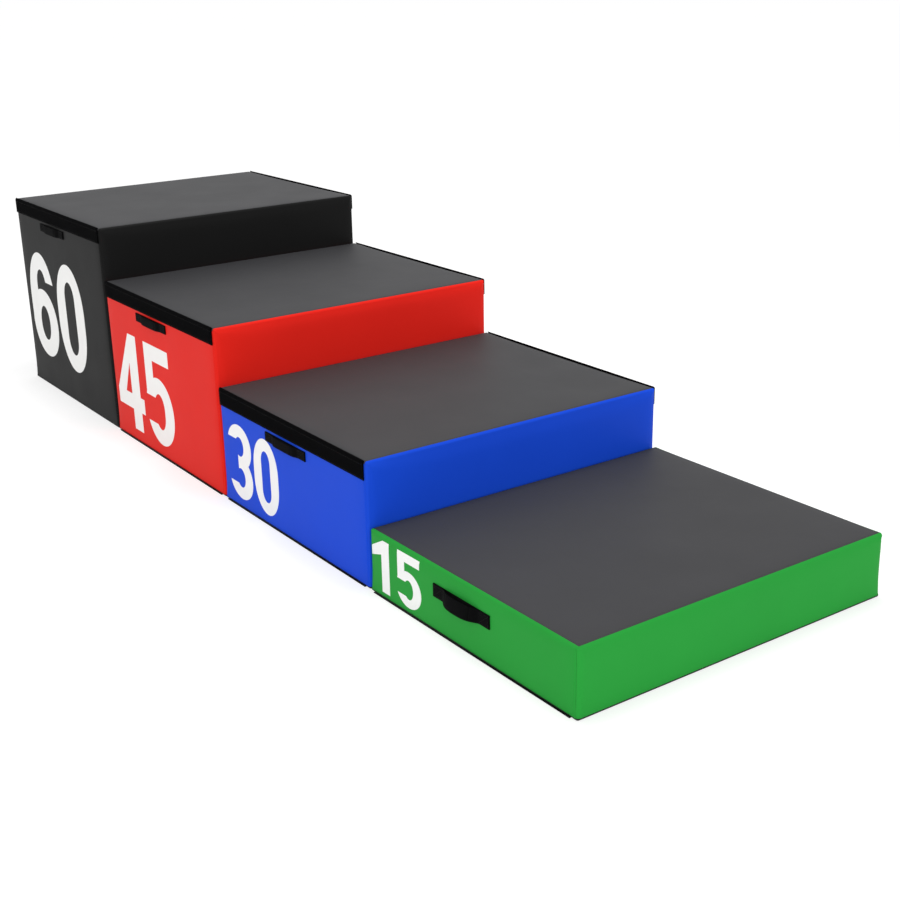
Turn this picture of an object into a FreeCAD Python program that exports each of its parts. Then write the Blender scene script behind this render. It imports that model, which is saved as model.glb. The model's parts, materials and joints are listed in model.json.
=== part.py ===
import FreeCAD, Part
import os
import re

import Sketcher

from FreeCAD import Matrix, Placement, Rotation, Vector

# Soft plyo boxes, a set of four that stand in a row as steps, in millimetres.
# X runs down the row from the tallest box to the lowest, the numbered ends face -Y, and Z is up.
# The origin is on the floor, under the middle of the row.

SIZES = {
    # Footprint of every box, heights, and the slit between neighbours
    "box_depth": 700,
    "box_width": 850,
    "height_60": 600,
    "height_45": 450,
    "height_30": 300,
    "height_15": 150,
    "row_slit": 0.8,
    # Vinyl cover, and the foam planks that fill it
    "cover_thick": 1.2,
    "corner_radius": 6,
    "base_skin": 1.5,
    "base_edge_radius": 3,
    "foam_ease": 0.3,
    "plank_thick": 50,
    # Loop strip along the top of each end
    "strip_drop": 45,
    "strip_thick": 1.6,
    "strip_inset": 3,
    # Hook flap, parked under the base in a rebate of the mat
    "flap_drop": 50,
    "flap_thick": 2.4,
    "flap_inset": 12,
    "flap_ease": 0.3,
    "flap_end_ease": 4,
    "floor_ease": 0.4,
    # Webbing carrying strap
    "strap_long": 190,
    "strap_tall": 30,
    "strap_thick": 3,
    "strap_patch": 36,
    "strap_bow": 14,
    "strap_edge_radius": 1.2,
    "strap_under_strip": 7,
    "strap_under_top": 40,
    "strap_shift": 36,
    "grip_long": 80,
    "grip_slit": 0.3,
    # Zip along the foot of the far end
    "zip_rise": 28,
    "zip_inset": 25,
    "tape_tall": 24,
    "tape_thick": 1,
    "coil_tall": 6,
    "coil_thick": 2,
    "slider_long": 16,
    "slider_wall": 2.2,
    "slider_ease": 0.3,
    "slider_parking": 45,
    "bail_long": 10,
    "bail_wide": 2.4,
    "bail_bar": 1.3,
    "bail_gap": 2.8,
    "pull_long": 34,
    "pull_wide": 9,
    "pull_thick": 1.6,
    "pull_ease": 0.5,
    # Printed height number
    "number_thick": 0.4,
}

# The boxes down the row, each with its height number and whether it carries a loop strip to take the box
# above, and a hook flap to hold to the box below.
BOXES = (
    ("60", True, False),
    ("45", True, True),
    ("30", True, True),
    ("15", False, True),
)

# Each number's place on its end: left, foot, width and height, as shares of the box's depth and height.
number_place_shares = {
    "60": (0.072, 0.175, 0.655, 0.567),
    "45": (0.050, 0.080, 0.540, 0.635),
    "30": (0.054, 0.085, 0.368, 0.660),
    "15": (0.014, 0.095, 0.271, 0.815),
}
digit_gap_share = 0.10
digit_stroke_share = 0.32
digit_bar_share = 0.16
digit_cap_share = 1.35

# Each box's straps, as shares of the bow, of the webbing's width and of the shift off the middle of the end:
# only the lowest box's straps hang slack, and they are cut from the full width of webbing.
strap_form_shares = {
    "60": (0.45, 0.8, 1),
    "45": (0.45, 0.8, 1),
    "30": (0.45, 0.8, 0.2),
    "15": (1, 1, 0.2),
}

doc = FreeCAD.newDocument("plyo_box_set")
sheet = doc.addObject("Spreadsheet::Sheet", "Sizes")
for cell_row, (alias, size) in enumerate(SIZES.items(), start=1):
    sheet.set(f"A{cell_row}", alias)
    sheet.set(f"B{cell_row}", str(size))
    sheet.setAlias(f"B{cell_row}", alias)
doc.recompute()

subparts = []


def sized(text):
    """An expression in the names of the sizes, as the document reads it."""
    return re.sub(r"[a-z]\w*", lambda word: f"Sizes.{word[0]}" if word[0] in SIZES else word[0], text)


def value(text):
    """The number that an expression in the names of the sizes comes to."""
    return float(sheet.evalExpression(sized(text)))


def bind(piece, **expressions):
    """Bind properties of a piece to expressions; at_x, at_y and at_z are its place."""
    for name, text in expressions.items():
        path = f"Placement.Base.{name[-1]}" if name.startswith("at_") else name
        piece.setExpression(path, sized(text))
    return piece


def block(kind, name, size, at, owner=doc):
    """A box of the given size, centred on X and Y about its place and standing on it."""
    add = owner.addObject if owner is doc else owner.newObject
    piece = add(kind, name)
    long, wide, tall = size
    x, y, z = at
    bind(piece, Length=long, Width=wide, Height=tall)
    bind(piece, at_x=f"{x} - ({long}) / 2", at_y=f"{y} - ({wide}) / 2", at_z=z)
    return piece


def boolean(kind, name, base, tool):
    piece = doc.addObject(f"Part::{kind}", name)
    piece.Base = base
    piece.Tool = tool
    return piece


def mirrored(name, source, normal, at_x=None):
    """The twin of a piece on the other side of a plane through the origin, or through a place on X."""
    piece = doc.addObject("Part::Mirroring", name)
    piece.Source = source
    piece.Normal = normal
    if at_x:
        piece.setExpression("Base.x", sized(at_x))
    return piece


def compound(name, pieces):
    piece = doc.addObject("Part::Compound", name)
    piece.Links = pieces
    return piece


def rounded(body, name, base, radius, keep):
    """A fillet on the edges of a body's feature for which keep(edge's box, feature's box) is true."""
    doc.recompute()
    whole = base.Shape.BoundBox
    picked = [
        f"Edge{number}"
        for number, edge in enumerate(base.Shape.Edges, start=1)
        if keep(edge.BoundBox, whole)
    ]
    fillet = body.newObject("PartDesign::Fillet", name)
    fillet.Base = (base, picked)
    bind(fillet, Radius=radius)
    return fillet


def upright(edge, whole):
    return edge.ZLength > whole.ZLength / 2


def at_top(edge, whole):
    return edge.ZMin > whole.Center.z and edge.ZLength < whole.ZLength / 2


def at_foot(edge, whole):
    return edge.ZMax < whole.Center.z and edge.ZLength < whole.ZLength / 2


def along_row(edge, whole):
    return edge.XLength > whole.XLength / 2


def square_to_face(edge, whole):
    return edge.YLength > whole.YLength / 2


def square_at_far_end(edge, whole):
    return square_to_face(edge, whole) and edge.XMin > whole.Center.x


def hand_in(piece, step=None):
    """Name a finished piece for its file and stand it at its box's step; a twin follows its source."""
    piece.Label = piece.Name
    if step is not None:
        bind(piece, at_x=f"{step} * (box_depth + row_slit)")
    subparts.append(piece)


def cushion_block(name, inset, foot, height):
    """The rounded block that the cover makes, drawn in on the sides and top by an inset."""
    body = doc.addObject("PartDesign::Body", name)
    size = (f"box_depth - 2 * ({inset})", f"box_width - 2 * ({inset})", f"{height} - ({inset}) - ({foot})")
    form = block("PartDesign::AdditiveBox", f"{name}_form", size, ("0", "0", foot), body)
    radius = f"corner_radius - ({inset})"
    corners = rounded(body, f"{name}_corners", form, radius, upright)
    rounded(body, f"{name}_crown", corners, radius, at_top)
    return body


REBATE = "flap_thick + flap_ease + floor_ease"
BASE_THICK = f"base_skin + {REBATE}"
PANEL_DEPTH = "box_depth - 2 * corner_radius"


def cover(mark, step, height, strip):
    """Top sheet, end panels and riser panels: one thin shell, parted at the seams."""
    outside = cushion_block(f"outside_{mark}", "0", BASE_THICK, height)
    inside = cushion_block(f"inside_{mark}", "cover_thick", BASE_THICK, height)
    shell = boolean("Cut", f"shell_{mark}", outside, inside)
    middle = block("Part::Box", f"middle_{mark}", (PANEL_DEPTH, "box_width", height), ("0", "0", "0"))
    # Where a loop strip runs along the end, the top sheet folds over that edge as far as the strip.
    reach = "box_width" if strip else "box_width - 2 * corner_radius"
    crown_size = (PANEL_DEPTH, reach, "corner_radius")
    crown = block("Part::Box", f"crown_{mark}", crown_size, ("0", "0", f"{height} - corner_radius"))
    risers = boolean("Cut", f"riser_panels_{mark}", shell, middle)
    belt = boolean("Common", f"belt_{mark}", shell, middle)
    top = boolean("Common", f"top_sheet_{mark}", belt, crown)
    ends = boolean("Cut", f"end_panels_{mark}", belt, crown)
    for piece in (top, ends, risers):
        hand_in(piece, step)


def foam(mark, step, height):
    """Glued planks that fill the cover."""
    foot = f"{BASE_THICK} + foam_ease"
    core = cushion_block(f"core_{mark}", "cover_thick + foam_ease", foot, height)
    tall = f"({height} - cover_thick - foam_ease - ({foot}))"
    count = max(1, round(value(f"{tall} / plank_thick")))
    planks = []
    for level in range(count):
        size = ("box_depth", "box_width", f"{tall} / {count}")
        place = ("0", "0", f"{foot} + {level} * {tall} / {count}")
        layer = block("Part::Box", f"layer_{mark}_{level}", size, place)
        planks.append(boolean("Common", f"plank_{mark}_{level}", core, layer))
    hand_in(compound(f"foam_planks_{mark}", planks), step)


def base_mat(mark, step, flap):
    """Non-slip mat under the box, with a rebate along each end where a hook flap parks."""
    body = doc.addObject("PartDesign::Body", f"base_mat_{mark}")
    size = ("box_depth", "box_width", BASE_THICK)
    form = block("PartDesign::AdditiveBox", f"mat_{mark}", size, ("0", "0", "0"), body)
    corners = rounded(body, f"mat_corners_{mark}", form, "corner_radius", upright)
    rounded(body, f"mat_foot_{mark}", corners, "base_edge_radius", at_foot)
    if flap:
        depth = "flap_drop + flap_end_ease"
        size = (f"{PANEL_DEPTH} - 2 * (flap_inset - flap_end_ease)", depth, REBATE)
        for end, side in (("front", "-1"), ("rear", "1")):
            place = ("0", f"{side} * (box_width - ({depth})) / 2", "0")
            block("PartDesign::SubtractiveBox", f"{end}_rebate_{mark}", size, place, body)
    hand_in(body, step)


def loop_strips(mark, step, height):
    """Loop side of the hook-and-loop, sewn along the top of both ends."""
    size = (f"{PANEL_DEPTH} - 2 * strip_inset", "strip_thick", "strip_drop - corner_radius")
    place = ("0", "-(box_width + strip_thick) / 2", f"{height} - strip_drop")
    front = block("Part::Box", f"front_strip_{mark}", size, place)
    rear = mirrored(f"rear_strip_{mark}", front, Vector(0, 1, 0))
    hand_in(compound(f"loop_strips_{mark}", [front, rear]), step)


def hook_flaps(mark, step):
    """Flaps that hang from the foot of both ends; parked, they lie flat under the base."""
    hem_y = "(box_width / 2 + strip_thick + flap_ease + flap_thick / 2)"
    long = f"{PANEL_DEPTH} - 2 * flap_inset"
    leaf = block(
        "Part::Box",
        f"leaf_{mark}",
        (long, "flap_drop", "flap_thick"),
        ("0", f"flap_drop / 2 - {hem_y}", "floor_ease"),
    )
    hem = doc.addObject("Part::Cylinder", f"hem_{mark}")
    hem.Placement = Placement(Vector(), Rotation(Vector(0, 1, 0), 90))
    bind(hem, Radius="flap_thick / 2", Height=long)
    bind(hem, at_x=f"-({long}) / 2", at_y=f"-{hem_y}", at_z="floor_ease + flap_thick / 2")
    front = boolean("Fuse", f"front_flap_{mark}", leaf, hem)
    hand_in(front, step)
    hand_in(mirrored(f"rear_flap_{mark}", front, Vector(0, 1, 0)))


def outline(body, name, points):
    """A closed sketch through points given as pairs of expressions, on the body's own XY plane."""
    sketch = body.newObject("Sketcher::SketchObject", name)
    plane = next(feature for feature in body.Origin.OriginFeatures if feature.Role == "XY_Plane")
    sketch.AttachmentSupport = (plane, [""])
    sketch.MapMode = "FlatFace"
    places = [Vector(value(across), value(out), 0) for across, out in points]
    count = len(points)
    for index in range(count):
        sketch.addGeometry(Part.LineSegment(places[index], places[(index + 1) % count]), False)
    for index in range(count):
        sketch.addConstraint(Sketcher.Constraint("Coincident", index, 2, (index + 1) % count, 1))
    origin = (-1, 1)
    for index, (across, out) in enumerate(points):
        for kind, text, place in (("X", across, places[index].x), ("Y", out, places[index].y)):
            datum = Sketcher.Constraint(f"Distance{kind}", *origin, index, 1, place)
            number = sketch.addConstraint(datum)
            sketch.renameConstraint(number, f"point_{index}_{kind}")
            sketch.setExpression(f"Constraints.point_{index}_{kind}", sized(text))
    return sketch


def straps(mark, step, height, strip):
    """Webbing carrying straps on both ends: sewn patches with their legs, and the free grip between them."""
    bow_share, tall_share, shift_share = strap_form_shares[mark]
    bow = f"{bow_share} * strap_bow"
    tall = f"{tall_share} * strap_tall"
    shift = f"{shift_share} * strap_shift"
    under = "strip_drop + strap_under_strip" if strip else "strap_under_top"
    foot = f"{height} - ({under}) - {tall}"
    leg = "(strap_long / 2 - strap_patch - grip_long / 2 - grip_slit)"
    face = "-box_width / 2"
    left = f"(-{shift} - strap_long / 2)"
    body = doc.addObject("PartDesign::Body", f"strap_end_{mark}")
    points = (
        (left, face),
        (f"{left} + strap_patch", face),
        (f"{left} + strap_patch + {leg}", f"{face} - {bow}"),
        (f"{left} + strap_patch + {leg}", f"{face} - {bow} - strap_thick"),
        (f"{left} + strap_patch", f"{face} - strap_thick"),
        (left, f"{face} - strap_thick"),
    )
    profile = outline(body, f"strap_line_{mark}", points)
    profile.setExpression("AttachmentOffset.Base.z", sized(foot))
    pad = body.newObject("PartDesign::Pad", f"strap_pad_{mark}")
    pad.Profile = profile
    bind(pad, Length=tall)
    right = mirrored(f"strap_end_right_{mark}", body, Vector(1, 0, 0), f"-{shift}")
    front = compound(f"strap_ends_front_{mark}", [body, right])
    rear = mirrored(f"strap_ends_rear_{mark}", front, Vector(0, 1, 0))
    hand_in(compound(f"strap_ends_{mark}", [front, rear]), step)

    grip = doc.addObject("PartDesign::Body", f"front_grip_{mark}")
    size = ("grip_long", "strap_thick", tall)
    place = (f"-{shift}", f"{face} - {bow} - strap_thick / 2", foot)
    bar = block("PartDesign::AdditiveBox", f"grip_bar_{mark}", size, place, grip)
    rounded(grip, f"grip_edges_{mark}", bar, "strap_edge_radius", along_row)
    hand_in(grip, step)
    hand_in(mirrored(f"rear_grip_{mark}", grip, Vector(0, 1, 0)))


def zip_set(mark, step):
    """Zip on the far end: tape with its coil, a slider that runs along the coil, and the pull on its bail."""
    face = "box_width / 2"
    tape = doc.addObject("PartDesign::Body", f"zip_tape_{mark}")
    long = f"{PANEL_DEPTH} - 2 * zip_inset"
    size = (long, "tape_thick", "tape_tall")
    place = ("0", f"{face} + tape_thick / 2", "zip_rise - tape_tall / 2")
    block("PartDesign::AdditiveBox", f"tape_{mark}", size, place, tape)
    size = (long, "coil_thick", "coil_tall")
    place = ("0", f"{face} + tape_thick + coil_thick / 2", "zip_rise - coil_tall / 2")
    block("PartDesign::AdditiveBox", f"coil_{mark}", size, place, tape)
    hand_in(tape, step)

    parked = f"(({long}) / 2 - slider_parking)"
    slider = doc.addObject("PartDesign::Body", f"zip_slider_{mark}")
    groove_tall = "(coil_tall + 2 * slider_ease)"
    groove_top = f"({face} + tape_thick + coil_thick + slider_ease)"
    plate_top = f"({groove_top} + slider_wall)"
    plate_foot = f"({face} + tape_thick + slider_ease)"
    size = ("slider_long", f"{plate_top} - {plate_foot}", f"{groove_tall} + 2 * slider_wall")
    place = (parked, f"({plate_top} + {plate_foot}) / 2", f"zip_rise - {groove_tall} / 2 - slider_wall")
    plate = block("PartDesign::AdditiveBox", f"plate_{mark}", size, place, slider)
    rounded(slider, f"plate_edges_{mark}", plate, "slider_wall / 2", square_to_face)
    size = ("slider_long", f"{groove_top} - {plate_foot}", groove_tall)
    place = (parked, f"({groove_top} + {plate_foot}) / 2", f"zip_rise - {groove_tall} / 2")
    block("PartDesign::SubtractiveBox", f"groove_{mark}", size, place, slider)
    size = ("bail_long", "bail_gap + bail_bar", "bail_wide")
    place = (parked, f"{plate_top} + (bail_gap + bail_bar) / 2", "zip_rise - bail_wide / 2")
    block("PartDesign::AdditiveBox", f"bail_{mark}", size, place, slider)
    size = ("bail_long - 2 * bail_bar", "bail_gap", "bail_wide")
    place = (parked, f"{plate_top} + bail_gap / 2", "zip_rise - bail_wide / 2")
    block("PartDesign::SubtractiveBox", f"bail_eye_{mark}", size, place, slider)
    hand_in(slider, step)

    pull = doc.addObject("PartDesign::Body", f"zip_pull_{mark}")
    pin_y = f"{plate_top} + bail_gap / 2"
    foot = "zip_rise - pull_wide / 2"
    size = ("pull_long", "pull_thick", "pull_wide")
    place = (f"{parked} + pull_long / 2", pin_y, foot)
    tab = block("PartDesign::AdditiveBox", f"tab_{mark}", size, place, pull)
    rounded(pull, f"tab_end_{mark}", tab, "pull_wide / 3", square_at_far_end)
    pin = pull.newObject("PartDesign::AdditiveCylinder", f"pull_pin_{mark}")
    bind(pin, Radius="pull_thick / 2", Height="pull_wide", at_x=parked, at_y=pin_y, at_z=foot)
    window = "(bail_long / 2 + bail_gap + bail_bar)"
    size = (f"{window} - pull_thick / 2", "pull_thick", "bail_wide + 2 * pull_ease")
    place = (f"{parked} + ({window} + pull_thick / 2) / 2", pin_y, "zip_rise - bail_wide / 2 - pull_ease")
    block("PartDesign::SubtractiveBox", f"window_{mark}", size, place, pull)
    hand_in(pull, step)


def rectangle(left, low, wide, high):
    corners = [
        Vector(left, 0, low),
        Vector(left + wide, 0, low),
        Vector(left + wide, 0, low + high),
        Vector(left, 0, low + high),
    ]
    return polygon(corners)


def printed(wire):
    """A closed line on the end panel, as a solid of the print's thickness."""
    return Part.Face(wire).extrude(Vector(0, -value("number_thick"), 0))


def polygon(corners):
    return printed(Part.makePolygon([*corners, corners[0]]))


def oval(left, low, wide, high):
    """Upright sides between half ovals, or one whole oval where there is no room for sides."""
    rise = min(digit_cap_share, high / wide)
    radius, squat = wide / 2, high / rise
    foot, crown = Vector(left + radius, 0, radius), Vector(left + radius, 0, squat - radius)
    across, up = Vector(radius, 0, 0), Vector(0, 0, radius)
    lower = Part.Arc(foot - across, foot - up, foot + across).toShape()
    upper = Part.Arc(crown + across, crown + up, crown - across).toShape()
    edges = [lower, upper]
    if not foot.isEqual(crown, Part.Precision.approximation()):
        sides = [Part.makeLine(foot + across, crown + across), Part.makeLine(crown - across, foot - across)]
        edges = [lower, sides[0], upper, sides[1]]
    stretch = Matrix()
    stretch.scale(1, 1, rise)
    ring = Part.Wire(edges).transformGeometry(stretch)
    ring.translate(Vector(0, 0, low))
    return printed(ring)


def bowl(wide, low, high, stroke, bar):
    """A ring of the numeral's stroke: upright strokes at the sides, thinner bars at the foot and top."""
    hole = oval(stroke, low + bar, wide - 2 * stroke, high - 2 * bar)
    return oval(0, low, wide, high).cut(hole)


def digit_0(wide, high, stroke, bar):
    return bowl(wide, 0, high, stroke, bar)


def digit_1(wide, high, stroke, bar):
    stem_share, shoulder_share, flag_share, tip_share = 0.74, 0.80, 0.72, 0.62
    stem = wide * stem_share
    corners = (
        (stem - stroke, 0),
        (stem, 0),
        (stem, high),
        (stem - stroke * shoulder_share, high),
        (0, high * shoulder_share),
        (0, high * tip_share),
        (stem - stroke, high * flag_share),
    )
    return polygon([Vector(across, 0, up) for across, up in corners])


def digit_3(wide, high, stroke, bar):
    waist = high / 2
    lower = bowl(wide, 0, waist + bar / 2, stroke, bar)
    upper = bowl(wide, waist - bar / 2, waist + bar / 2, stroke, bar)
    mouth_low_share, mouth_high_share, mouth_wide_share = 0.20, 0.60, 0.42
    mouth = rectangle(0, high * mouth_low_share, wide * mouth_wide_share, high * mouth_high_share)
    return lower.fuse(upper).cut(mouth)


def digit_4(wide, high, stroke, bar):
    stem_share, bar_low_share, apex_share, hole_left_share, hole_top_share = 0.54, 0.21, 0.57, 0.31, 0.70
    left, right = wide * stem_share, wide * stem_share + stroke
    low = high * bar_low_share
    corners = (
        (left, 0),
        (right, 0),
        (right, low),
        (wide, low),
        (wide, low + bar),
        (right, low + bar),
        (right, high),
        (wide * apex_share, high),
        (0, low + bar),
        (0, low),
        (left, low),
    )
    hole = ((wide * hole_left_share, low + bar), (left, low + bar), (left, high * hole_top_share))
    outer = polygon([Vector(across, 0, up) for across, up in corners])
    return outer.cut(polygon([Vector(across, 0, up) for across, up in hole]))


def digit_5(wide, high, stroke, bar):
    bowl_share, neck_share, left_share, flag_share = 0.685, 0.47, 0.06, 0.88
    mouth_low_share = 0.20
    left = wide * left_share
    flag = rectangle(left, high - bar, wide * flag_share, bar)
    neck = rectangle(left, high * neck_share, stroke * flag_share, high - high * neck_share)
    mouth_high = high * neck_share - high * mouth_low_share
    mouth = rectangle(0, high * mouth_low_share, wide / 2, mouth_high)
    ring = bowl(wide, 0, high * bowl_share, stroke, bar)
    return ring.cut(mouth).fuse([flag, neck])


def digit_6(wide, high, stroke, bar):
    bowl_share, mouth_high_share = 0.65, 0.735
    middle_share = 0.5
    mouth_low = high * bowl_share / 2
    mouth = rectangle(wide * middle_share, mouth_low, wide, high * mouth_high_share - mouth_low)
    hook = bowl(wide, 0, high, stroke, bar).cut(mouth)
    return hook.fuse(bowl(wide, 0, high * bowl_share, stroke, bar))


DIGITS = {"0": digit_0, "1": digit_1, "3": digit_3, "4": digit_4, "5": digit_5, "6": digit_6}
# How far each numeral moves the next one on, in numeral widths
advance_shares = {"1": 0.93}


def number(mark, step, height):
    """Height number printed on the near end panel."""
    left_share, low_share, wide_share, high_share = number_place_shares[mark]
    depth, tall = value("box_depth"), value(height)
    advances = [advance_shares.get(digit, 1) for digit in mark]
    wide = depth * wide_share / (sum(advances) + digit_gap_share)
    high = tall * high_share
    stroke, bar = wide * digit_stroke_share, high * digit_bar_share
    across = depth * left_share - depth / 2
    solids = []
    for digit, advance in zip(mark, advances):
        shape = DIGITS[digit](wide, high, stroke, bar).removeSplitter()
        shape.translate(Vector(across, -value("box_width") / 2, tall * low_share))
        solids.extend(shape.Solids)
        across += wide * (advance + digit_gap_share)
    piece = doc.addObject("Part::Feature", f"number_{mark}")
    piece.Shape = Part.makeCompound(solids)
    hand_in(piece, step)


for place, (mark, strip, flap) in enumerate(BOXES):
    step = place - (len(BOXES) - 1) / 2
    height = f"height_{mark}"
    foam(mark, step, height)
    cover(mark, step, height, strip)
    base_mat(mark, step, flap)
    if strip:
        loop_strips(mark, step, height)
    if flap:
        hook_flaps(mark, step)
    straps(mark, step, height, strip)
    zip_set(mark, step)
    number(mark, step, height)

doc.recompute()

for piece in doc.Objects:
    if {"Invalid", "Error"} & set(piece.State):
        raise RuntimeError(f"{piece.Name} failed: {piece.State}")
for piece in subparts:
    if piece.Shape.isNull() or not piece.Shape.isValid() or not piece.Shape.Solids:
        raise RuntimeError(f"{piece.Label} has no sound solid")

os.makedirs("parts", exist_ok=True)
for piece in subparts:
    piece.Shape.exportStep(f"parts/{piece.Label}.step")
print(len(subparts), "sub-parts written")
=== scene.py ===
import functools
import json
import math

import bmesh
import bpy
import numpy as np
from mathutils import Euler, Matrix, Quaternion, Vector
from mathutils.bvhtree import BVHTree

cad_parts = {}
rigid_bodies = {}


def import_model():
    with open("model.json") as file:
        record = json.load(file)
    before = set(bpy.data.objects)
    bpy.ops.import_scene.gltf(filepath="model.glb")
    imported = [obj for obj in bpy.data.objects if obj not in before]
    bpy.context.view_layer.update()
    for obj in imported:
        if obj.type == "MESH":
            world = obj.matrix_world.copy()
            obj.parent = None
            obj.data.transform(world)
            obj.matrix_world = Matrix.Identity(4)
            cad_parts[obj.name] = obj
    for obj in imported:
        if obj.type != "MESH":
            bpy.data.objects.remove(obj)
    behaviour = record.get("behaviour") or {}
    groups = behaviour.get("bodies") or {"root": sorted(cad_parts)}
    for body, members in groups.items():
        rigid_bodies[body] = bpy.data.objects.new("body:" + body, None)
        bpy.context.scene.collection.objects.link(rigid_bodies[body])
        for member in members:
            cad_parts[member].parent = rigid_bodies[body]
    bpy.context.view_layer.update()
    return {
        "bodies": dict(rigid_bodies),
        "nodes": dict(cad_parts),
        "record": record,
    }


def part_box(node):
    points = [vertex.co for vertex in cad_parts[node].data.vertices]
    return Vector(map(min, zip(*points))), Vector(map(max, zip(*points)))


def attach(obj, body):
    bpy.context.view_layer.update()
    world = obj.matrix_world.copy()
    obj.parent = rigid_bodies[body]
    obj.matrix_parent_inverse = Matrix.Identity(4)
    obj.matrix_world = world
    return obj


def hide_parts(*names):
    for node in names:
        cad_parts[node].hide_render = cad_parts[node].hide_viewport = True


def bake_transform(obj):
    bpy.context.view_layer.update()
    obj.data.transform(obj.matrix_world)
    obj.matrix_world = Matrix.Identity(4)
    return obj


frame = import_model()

bl_info = {
    "name": "Soft plyo box set",
    "version": (1, 0, 0),
    "blender": (4, 5, 0),
    "location": "View3D > Sidebar > Plyo boxes",
    "description": "Dresses four soft plyo boxes: covers, seams, numbers, straps, strips, flaps and zips",
    "category": "Object",
}

# The row runs down X from the 60 cm box to the 15 cm box, the numbered ends face -Y, and Z is up. Metres.
MM = 0.001
MARKS = [body.removeprefix("box_") for body in frame["bodies"] if body.startswith("box_")]
BANDED = [mark for mark in MARKS if f"loop_strips_{mark}" in frame["nodes"]]
FLAPPED = [mark for mark in MARKS if f"front_flap_{mark}" in frame["nodes"]]
ENDS = {"front": -1, "rear": 1}
SLOTS = {entry["node"]: entry["material_slot"] for entry in frame["record"]["subparts"]}


def linear(hex_code):
    """An sRGB hex colour as linear red, green and blue."""
    channels = [int(hex_code[start:start + 2], 16) / 255 for start in (1, 3, 5)]
    return tuple(c / 12.92 if c <= 0.04045 else ((c + 0.055) / 1.055) ** 2.4 for c in channels)


def length(name, description, millimetres):
    """A property that holds a length."""
    return bpy.props.FloatProperty(
        name=name, description=description, default=millimetres * MM, min=0, precision=4,
        subtype="DISTANCE", unit="LENGTH",
    )


def lengths(name, description, *millimetres):
    """A property that holds a size along, across and up."""
    return bpy.props.FloatVectorProperty(
        name=name, description=description, default=[size * MM for size in millimetres], min=0, precision=4,
        subtype="XYZ_LENGTH", unit="LENGTH",
    )


def angle(name, description, degrees):
    """A property that holds an angle."""
    return bpy.props.FloatProperty(
        name=name, description=description, default=math.radians(degrees), subtype="ANGLE"
    )


def colour(name, description, hex_code):
    """A property that holds a colour, given as an sRGB hex value."""
    return bpy.props.FloatVectorProperty(
        name=name, description=description, default=linear(hex_code), min=0, max=1, subtype="COLOR"
    )


def extent(node, axis):
    """How far a node of the frame reaches along an axis, 0 to 2."""
    low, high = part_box(node)
    return high[axis] - low[axis]


class PlyoCovers(bpy.types.PropertyGroup):
    """Vinyl covers, their foam and their seams"""

    vinyl: length("Vinyl", "Thickness of the coated fabric", extent(f"top_sheet_{MARKS[-1]}", 2) / MM)
    swell: length("Swell", "How far the foam pushes a panel out past its seams", 2)
    crown: length("Crown", "Push at which a panel has taken two thirds of its swell", 2.5)
    seam_dip: length("Seam dip", "How far a seam is drawn in below the panels beside it", 0.8)
    pitch: length("Cloth pitch", "Spacing of the cloth's grid between its seams", 12)
    seam_near: length("Seam near", "From a seam to the first grid line beside it", 2.5)
    seam_far: length("Seam far", "From a seam to where the even grid begins", 11)
    stitch_inset: length("Stitch inset", "From a seam to the row of stitches beside it", 5)
    stitch_pitch: length("Stitch pitch", "From one stitch to the next", 4)
    stitch_long: length("Stitch length", "Length of one stitch", 3.1)
    thread: length("Thread", "Thickness of the thread", 0.7)
    foot_lap: length("Foot lap", "How far the panels lap down over the edge of the base mat", 2.2)
    foot_proud: length("Foot proud", "How far that lap stands out past the mat", 0.2)
    foot_ease: length("Foot ease", "Height over which the foot's straight edge eases into the swell", 60)
    foam_inset: length("Foam inset", "From the outside of the cover to the foam", 6)
    foam_lift: length("Foam lift", "From the base mat to the foam", 1)
    foam_edge: length("Foam edge", "Rounding of a plank's edges", 4)
    plank: length("Plank", "Thickness of one foam plank", 50)
    pressure: bpy.props.FloatProperty(
        name="Pressure", description="Push of the foam on the cloth", default=6, min=0
    )
    frames: bpy.props.IntProperty(name="Frames", description="Frames of cloth simulation", default=14, min=2)


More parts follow.
